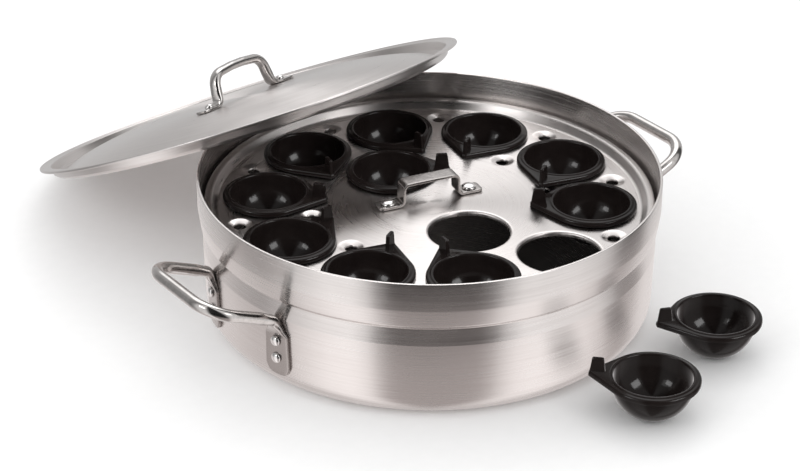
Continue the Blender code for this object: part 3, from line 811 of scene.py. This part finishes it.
def tear(angle, inset):
    """Reach of the teardrop outline at an angle from the tab."""
    away = abs((angle + 180.0) % 360.0 - 180.0)
    radius = CUP_FLANGE_RADIUS
    tangent = math.degrees(math.acos(radius / CUP_TIP))
    if away >= tangent:
        return radius - inset
    reach = radius / math.cos(math.radians(tangent - away))
    blunt = (CUP_TIP - CUP_TIP_BLUNT) / max(math.cos(math.radians(away)), 0.5)
    return min(reach, blunt) - inset


def cup_angles():
    """Even turns, closer together about the tab."""
    angles = []
    for step in range(CUP_STEPS):
        share = step / CUP_STEPS
        angles.append(360.0 * (share - 0.115 * math.sin(2.0 * math.pi * share)))
    return angles


def cup_ring(kind, value, z):
    if kind == "round":
        return [polar(value, angle, z) for angle in cup_angles()]
    return [polar(tear(angle, value), angle, z) for angle in cup_angles()]


def cup_outline():
    """(kind, radius or inset, z) from the bowl's floor up inside, over the flange and down outside."""
    floor = 17.0    # the flat bottom inside ends this many degrees from the bowl's axis
    stations = [("round", 4.0, -CUP_BOWL_INNER_DEPTH * math.cos(math.radians(floor)))]
    for angle in (floor - 3.0, floor, floor + 3.0, 26.0, 33.0, 41.0, 49.0, 57.0, 65.0, 73.0, 81.0):
        turn = math.radians(max(angle, floor))
        radius = CUP_BOWL_RADIUS * math.sin(math.radians(angle))
        stations.append(("round", radius, -CUP_BOWL_INNER_DEPTH * math.cos(turn)))
    stations += [
        ("round", CUP_BOWL_RADIUS, -1.0),
        ("round", 33.1, CUP_TOP - 2.2),
        ("round", 33.3, CUP_TOP - 0.9),
        ("round", 33.8, CUP_TOP - 0.25),
        ("round", 34.6, CUP_TOP),
        ("round", 35.5, CUP_TOP - 0.15),
        ("round", 36.2, CUP_TOP - 0.7),
        ("round", 36.7, CUP_TOP - 0.95),
        ("tear", 2.3, CUP_TOP - 1.0),
        ("tear", 1.3, CUP_TOP - 1.2),
        ("tear", 0.5, CUP_TOP - 1.8),
        ("tear", 0.1, CUP_TOP - 2.7),
        ("tear", 0.0, CUP_TOP - 3.6),
        ("tear", 0.0, 0.7),
        ("tear", 0.25, 0.2),
        ("tear", 0.8, 0.0),
        ("tear", 2.2, 0.0),
        ("round", CUP_BOWL_OUTER + 0.7, 0.0),
        ("round", CUP_BOWL_OUTER - 0.1, -0.7),
    ]
    for angle in (80.0, 72.0, 63.0, 54.0, 45.0, 36.0, 28.0, 21.0, CUP_FOOT_ANGLE + 2.5, CUP_FOOT_ANGLE):
        turn = math.radians(angle)
        stations.append(("round", CUP_BOWL_OUTER * math.sin(turn), -CUP_BOWL_DEPTH * math.cos(turn)))
    foot = CUP_BOWL_OUTER * math.sin(math.radians(CUP_FOOT_ANGLE))
    low = -CUP_BOWL_DEPTH * math.cos(math.radians(CUP_FOOT_ANGLE))
    stations.append(("round", foot - 1.0, low))
    return stations


def fin_mesh():
    """The upright thumb fin on the tab, with its edges rounded."""
    outline = filleted(
        [
            (46.0, 1.2, 0.0),
            (CUP_TIP - 2.0, 1.2, 0.0),
            (CUP_TIP - 4.2, FIN_TOP, 1.7),
            (41.2, FIN_TOP, 1.6),
            (39.4, 1.2, 0.0),
            (46.0, 1.2, 0.0),
        ],
        5,
    )[:-1]
    shape = bmesh.new()
    soft = 0.7
    rings = []
    for side, inset in ((-1.0, soft), (-1.0, 0.0), (1.0, 0.0), (1.0, soft)):
        y = side * (FIN_THICK / 2.0 - (0.0 if inset else soft))
        middle = Vector((46.5, y, 9.0))
        points = [Vector((x, y, z)) for x, z in outline]
        rings.append([point + (middle - point).normalized() * inset for point in points])
    loft(shape, rings)
    return shape


def cup_mesh(material):
    shape = bmesh.new()
    loft(shape, [cup_ring(*station) for station in cup_outline()])
    shell = piece_of("cup_shell", shape, material, 60.0)
    fin = piece_of("cup_fin", fin_mesh(), material, 60.0)
    joined = shell.modifiers.new("join", "BOOLEAN")
    joined.operation = "UNION"
    joined.object = fin
    graph = bpy.context.evaluated_depsgraph_get()
    mesh = bpy.data.meshes.new_from_object(shell.evaluated_get(graph))
    mesh.name = "cup_moulding"
    mesh.shade_smooth()
    mesh.set_sharp_from_angle(angle=math.radians(38.0))
    for helper in (shell, fin):
        bpy.data.objects.remove(helper)
    return mesh


def cup_place(node):
    """Where a CAD cup stands: its foot ring gives the axis and its far tip the tab's direction."""
    points = corners_of(node)
    lowest = points[:, 2].min()
    foot = points[points[:, 2] < lowest + 0.0002]
    middle = 0.5 * (foot.min(0) + foot.max(0))
    away = np.hypot(points[:, 0] - middle[0], points[:, 1] - middle[1])
    tip = np.unique(points[away > away.max() - 0.00005].round(6), axis=0).mean(0) - middle
    turn = Matrix.Rotation(math.atan2(tip[1], tip[0]), 4, "Z")
    rise = lowest + CUP_BOWL_DEPTH * math.cos(math.radians(CUP_FOOT_ANGLE)) * MM
    return Matrix.Translation((middle[0], middle[1], rise)) @ turn


def make_cups(material):
    mesh = cup_mesh(material)
    cups = []
    for number in range(1, 13):
        node = f"cup_{number:02d}"
        cup = bpy.data.objects.new(f"{node}_moulding", mesh.copy())
        bpy.context.scene.collection.objects.link(cup)
        cup.matrix_world = cup_place(node)
        stands_for(cup, node, node)
        cup.visible_glossy = node not in LOOSE_CUPS    # their mirror images would streak the pan's wall
        cups.append(cup)
    return cups


# ---------------------------------------------------------------- lid


def lid_place():
    """The rim of the CAD lid gives the axis. Local X is level and local Y climbs towards the front."""
    points = corners_of("lid")
    reach = np.linalg.norm(points - points.mean(0), axis=1)
    rim = points[reach > 0.99 * reach.max()]
    middle = Vector(0.5 * (rim.min(0) + rim.max(0)))
    axis = Vector(np.linalg.svd(rim - rim.mean(0))[2][2])
    if axis.z < 0.0:
        axis = -axis
    crown = max(Vector(point).dot(axis) for point in points)
    centre = middle + axis * (crown - LID_RISE * MM - middle.dot(axis))
    level = Vector((0.0, 0.0, 1.0)).cross(axis).normalized()
    climb = axis.cross(level)
    return Matrix.Translation(centre) @ Matrix((level, climb, axis)).transposed().to_4x4()


def lid_height(radius):
    return LID_RISE - (LID_RISE + LID_DEPTH) * (radius / LID_DOME_RADIUS) ** LID_DOME_POWER


def make_lid(material):
    stations = [0.0, 20.0, 40.0, 60.0, 80.0, 100.0, 115.0, 130.0, 140.0, 150.0, 158.0, 165.0, 171.0]
    stations.append(LID_EDGE_START)
    top = [(radius, lid_height(radius)) for radius in stations]
    under = [(radius, height - LID_THICK) for radius, height in reversed(top)]
    low = -LID_DEPTH
    edge = filleted(
        [
            (LID_EDGE_START, lid_height(LID_EDGE_START), 0.0),
            (181.5, low + 3.4, 8.0),
            (187.0, low + 0.3, 6.0),
            (194.6, low + 0.3, 3.0),
            (LID_SKIRT_RADIUS, 0.5, 1.6),
            (LID_RADIUS - 3.6, 0.6, 1.0),
            (LID_RADIUS - 2.6, 1.35, 0.8),
            (LID_RADIUS - 0.55, 1.35, 1.2),
            (LID_RADIUS - 0.5, -1.3, 1.1),
            (LID_RADIUS - 3.0, -1.3, 0.6),
            (LID_SKIRT_RADIUS + 1.7, -1.2, 1.3),
            (196.0, -8.2, 2.4),
            (189.6, low - 0.9, 5.0),
            (LID_EDGE_START, lid_height(LID_EDGE_START) - LID_THICK, 0.0),
        ],
        7,
    )
    lid = turned("lid_shell", top[:-1] + edge + under[1:], ROUND_STEPS, material)
    lid.matrix_world = lid_place()
    return stands_for(lid, "lid", "lid")


def lid_handle_place():
    """The arch stands over the lid's middle, in line with its two rivets."""
    lid = lid_place()
    along = lid.to_3x3().transposed() @ (middle_of("lid_rivet_1") - middle_of("lid_rivet_2"))
    turn = Matrix.Rotation(math.atan2(along.y, along.x), 4, "Z")
    return lid @ turn @ Matrix.Translation(Vector((0.0, 0.0, lid_height(LID_RIVET) * MM)))


def make_lid_handle(material):
    up = (0.0, 0.0, 1.0)
    low = GAP + LID_FOOT_THICK / 2.0
    half = [
        ((-68.0, 0.0, low), 0.0, (3.0, 1.0, 0.5), up),
        ((-67.2, 0.0, low), 0.0, (5.2, 1.2, 0.42), up),
        ((-65.4, 0.0, low), 0.0, (6.9, 1.3, 0.36), up),
        ((-62.0, 0.0, low), 0.0, (7.8, 1.3, 0.3), up),
        ((-49.0, 0.0, low), 0.0, (7.6, 1.3, 0.34), up),
        ((-45.0, 0.0, low + 0.5), 0.0, (6.8, 1.7, 0.5), up),
        ((-39.5, 0.0, low + 2.4), 5.5, (6.2, 3.2, 0.8), up),
        ((-37.5, 0.0, 14.0), 0.0, (6.0, 4.4, 0.9), up),
        ((-34.5, 0.0, 30.0), 14.0, (5.9, 4.4, 1.0), up),
        ((-8.0, 0.0, 32.4), 0.0, (5.9, 4.3, 1.0), up),
    ]
    bar = swept("lid_handle_bar", mirrored(half, 0), material, 12, width_axis=(0.0, 1.0, 0.0))
    bar.matrix_world = lid_handle_place()
    return stands_for(bar, "lid_handle", "lid")


def make_lid_rivets(material):
    for index, offset in ((1, LID_RIVET), (2, -LID_RIVET)):
        rivet = rivet_head(f"lid_rivet_{index}_head", *LID_RIVET_HEAD, material)
        rivet.matrix_world = lid_handle_place() @ placed((offset, 0.0, GAP + LID_FOOT_THICK))
        stands_for(rivet, f"lid_rivet_{index}", "lid")


# ---------------------------------------------------------------- studio


def studio(point):
    """A place in metres given as seen from the camera: X to the right, Y away from it."""
    return Matrix.Rotation(math.radians(VIEW_TURN), 3, "Z") @ Vector(point)


def make_camera():
    pitch = math.radians(CAMERA_PITCH)
    look = Vector((0.0, math.cos(pitch), -math.sin(pitch)))
    right = Vector((1.0, 0.0, 0.0))
    roll = Matrix.Rotation(math.radians(CAMERA_ROLL), 3, look)
    upward = roll @ right.cross(look)
    right = roll @ right
    stand = Matrix((right, upward, -look)).transposed().to_4x4()
    stand.translation = Vector(CAMERA_STAND)
    data = bpy.data.cameras.new("camera")
    data.sensor_width = 36.0
    data.lens = CAMERA_LENS
    data.clip_end = 60.0
    camera = bpy.data.objects.new("camera", data)
    bpy.context.scene.collection.objects.link(camera)
    camera.matrix_world = Matrix.Rotation(math.radians(VIEW_TURN), 4, "Z") @ stand
    bpy.context.scene.camera = camera


def softbox(name, azimuth, elevation, distance, width, height, radiance, only=None):
    """A rectangular light that faces the pan. Azimuth 0 is the camera's side and grows to its right."""
    turn = math.radians(azimuth)
    rise = math.radians(elevation)
    away = Vector((math.sin(turn) * math.cos(rise), -math.cos(turn) * math.cos(rise), math.sin(rise)))
    data = bpy.data.lights.new(name, "AREA")
    data.shape = "RECTANGLE"
    data.size = width
    data.size_y = height
    data.energy = radiance * math.pi * width * height
    light = bpy.data.objects.new(name, data)
    bpy.context.scene.collection.objects.link(light)
    light.location = studio(away * distance) + Vector(LIGHT_AIM)
    light.rotation_euler = studio(away).to_track_quat("Z", "Y").to_euler()
    if only:
        light.light_linking.receiver_collection = only


# How bright the studio looks from the pan, by compass degrees from the camera's side, growing to its right
SURROUNDINGS = (
    (-180, 0.62),
    (-150, 0.62),
    (-124, 0.52),
    (-103, 0.36),
    (-90, 0.28),
    (-80, 0.42),
    (-68, 0.80),
    (-50, 1.08),
    (-38, 1.08),
    (-31, 0.85),
    (-25, 0.25),
    (-19, 0.02),
    (24, 0.02),
    (31, 0.14),
    (38, 0.62),
    (46, 0.98),
    (60, 1.00),
    (74, 0.96),
    (88, 0.84),
    (98, 0.60),
    (105, 0.12),
    (123, 0.10),
    (134, 0.70),
    (156, 0.62),
)


def surroundings(graph, vector):
    """The studio's brightness in the direction of a vector, as a socket."""
    rotate = graph.node("VectorRotate", rotation_type="Z_AXIS")
    rotate.inputs["Angle"].default_value = math.radians(-VIEW_TURN)
    graph.join(vector, rotate.inputs["Vector"])
    split = graph.node("SeparateXYZ")
    graph.join(rotate.outputs[0], split.inputs[0])
    nearer = graph.maths("MULTIPLY", split.outputs[1], -1.0)
    turn = graph.maths("ARCTAN2", split.outputs[0], nearer)
    share = graph.mapped(turn, (-math.pi, math.pi), (0.0, 1.0))
    ramp = graph.node("ValToRGB")
    ramp.color_ramp.interpolation = "EASE"
    while len(ramp.color_ramp.elements) > 1:
        ramp.color_ramp.elements.remove(ramp.color_ramp.elements[-1])
    for index, (degrees, level) in enumerate(SURROUNDINGS):
        place = degrees / 360.0 + 0.5
        stop = ramp.color_ramp.elements[0] if index == 0 else ramp.color_ramp.elements.new(place)
        stop.position = place
        stop.color = (level, level, level, 1.0)
    graph.join(share, ramp.inputs["Fac"])
    return ramp.outputs["Color"]


def make_world():
    """Even light for matt surfaces, and the studio's boxes and dark corners for shiny ones."""
    graph = Graph(bpy.data.worlds.new("room"))
    bpy.context.scene.world = graph.owner
    where = graph.node("TexCoord").outputs["Generated"]
    around = surroundings(graph, where)
    towards = graph.vector("DOT_PRODUCT", where, studio(OVERHEAD_WAY).normalized())
    overhead = graph.smooth(towards, OVERHEAD_EDGE)
    seen = graph.tint(overhead, around, (OVERHEAD,) * 3)
    glossy = graph.node("LightPath").outputs["Is Glossy Ray"]
    tone = graph.tint(glossy, (AMBIENT,) * 3, seen)
    graph.join(tone, graph.tree.nodes["Background"].inputs["Color"])


def ground(name, material):
    """A level sheet under everything."""
    shape = bmesh.new()
    bmesh.ops.create_grid(shape, x_segments=2, y_segments=2, size=FLOOR_SIZE)
    return piece_of(name, shape, material)


def make_floor():
    graph = Graph(bpy.data.materials.new("floor_paper"))
    fibre = graph.noise(graph.place(), scale=90.0, detail=3.0)
    graph.join(graph.tint(fibre, *PAPER_TONES), graph.shader.inputs["Base Color"])
    graph.shader.inputs["Roughness"].default_value = 0.7
    graph.shader.inputs["Specular IOR Level"].default_value = 0.2
    floor = ground("floor", graph.owner)
    floor.visible_glossy = False
    return floor


def make_floor_glow():
    """What shiny surfaces see of the floor: the studio's corners, with the light about the pan on top."""
    graph = Graph(bpy.data.materials.new("floor_glow"))
    place = graph.place()
    reach = graph.vector("DISTANCE", place, (0.0, 0.0, 0.0))
    pool = graph.mapped(reach, GLOW_EDGE, (FLOOR_GLOW, 0.0))
    clear = graph.smooth(reach, PAN_SHADE)
    for node in LOOSE_CUPS:
        middle = middle_of(node)
        middle.z = 0.0
        share = graph.smooth(graph.vector("DISTANCE", place, middle), CUP_SHADE)
        lifted = graph.maths("ADD", graph.maths("MULTIPLY", share, 1.0 - UNDER_CUP), UNDER_CUP)
        clear = graph.maths("MULTIPLY", clear, lifted)
    glow = graph.node("Emission")
    glow.inputs["Color"].default_value = GLOW_TONE
    graph.join(graph.maths("MULTIPLY", pool, clear), glow.inputs["Strength"])
    through = graph.node("BsdfTransparent")
    rest = graph.maths("SUBTRACT", 1.0, graph.maths("MULTIPLY", pool, GLOW_HIDES))
    graph.join(graph.maths("MULTIPLY", clear, rest), through.inputs["Color"])
    both = graph.node("AddShader")
    graph.join(glow.outputs[0], both.inputs[0])
    graph.join(through.outputs[0], both.inputs[1])
    graph.join(both.outputs[0], graph.tree.nodes["Material Output"].inputs["Surface"])
    sheet = ground("floor_glow", graph.owner)
    sheet.location = (0.0, 0.0, GLOW_Z)
    sheet.visible_camera = False
    sheet.visible_diffuse = False
    sheet.visible_shadow = False
    sheet.visible_transmission = False


def lit_only(name, objects):
    """The collection that a light is kept to."""
    group = bpy.data.collections.new(name)
    for item in objects:
        group.objects.link(item)
    return group


def make_lights(cups, floor, pan):
    """The numbers are each light's azimuth, elevation, distance, width, height and radiance.

    The windows light only the cups, the fill only the floor, and the lamp under the plate only the pan.
    """
    cups_lit = lit_only("cups_lit", cups)
    softbox("window_right", 58.0, 31.0, 2.5, 1.15, 0.75, 14.0, cups_lit)
    softbox("window_left", -58.0, 31.0, 2.5, 0.85, 0.60, 14.0, cups_lit)
    softbox("fill_left", -100.0, 20.0, 2.5, 2.0, 1.0, 1.7, lit_only("floor_lit", [floor]))
    softbox("in_pan", 0.0, 90.0, -0.02, 0.36, 0.36, 0.018, lit_only("pan_lit", [pan]))
    softbox("key_left", -46.0, 36.0, 2.5, 0.8, 0.8, 2.6)
    softbox("key_right", 54.0, 36.0, 2.5, 0.7, 0.8, 2.2)
    softbox("overhead_back", 172.0, 58.0, 2.6, 1.0, 0.8, 1.6)


def main():
    pan_metal = brushed_aluminium("pan_brushed", False, 0.25, anisotropy=0.93, dents=0.03)
    insert_metal = brushed_aluminium("insert_brushed", True, 0.30, anisotropy=0.92, dents=0.04)
    lid_metal = brushed_aluminium("lid_brushed", False, 0.33, anisotropy=0.80, dents=0.05)
    handle_metal = polished_metal("handle_polished", LID_HANDLE_TONES, 0.12, grain=240.0, relief=0.04)
    side_metal = polished_metal(
        "side_polished", SIDE_HANDLE_TONES, 0.12, grain=240.0, relief=0.04, satin_feet=True
    )
    strap_metal = polished_metal("strap_brushed", STRAP_TONES, 0.20, grain=420.0, relief=0.03)
    rivet_metal = polished_metal("rivet_polished", RIVET_TONES, 0.16, grain=380.0, relief=0.08)
    plastic = black_plastic("cup_black")
    pan = make_pan(pan_metal)
    for side, angle in SIDES:
        make_side_handle(side, angle, side_metal)
    make_side_rivets(rivet_metal)
    make_insert(insert_metal)
    make_insert_handle(strap_metal)
    make_insert_rivets(rivet_metal)
    cups = make_cups(plastic)
    make_lid(lid_metal)
    make_lid_handle(handle_metal)
    make_lid_rivets(rivet_metal)
    floor = make_floor()
    make_floor_glow()
    make_world()
    make_lights(cups, floor, pan)
    make_camera()
    bpy.context.scene.view_settings.view_transform = "Standard"


main()
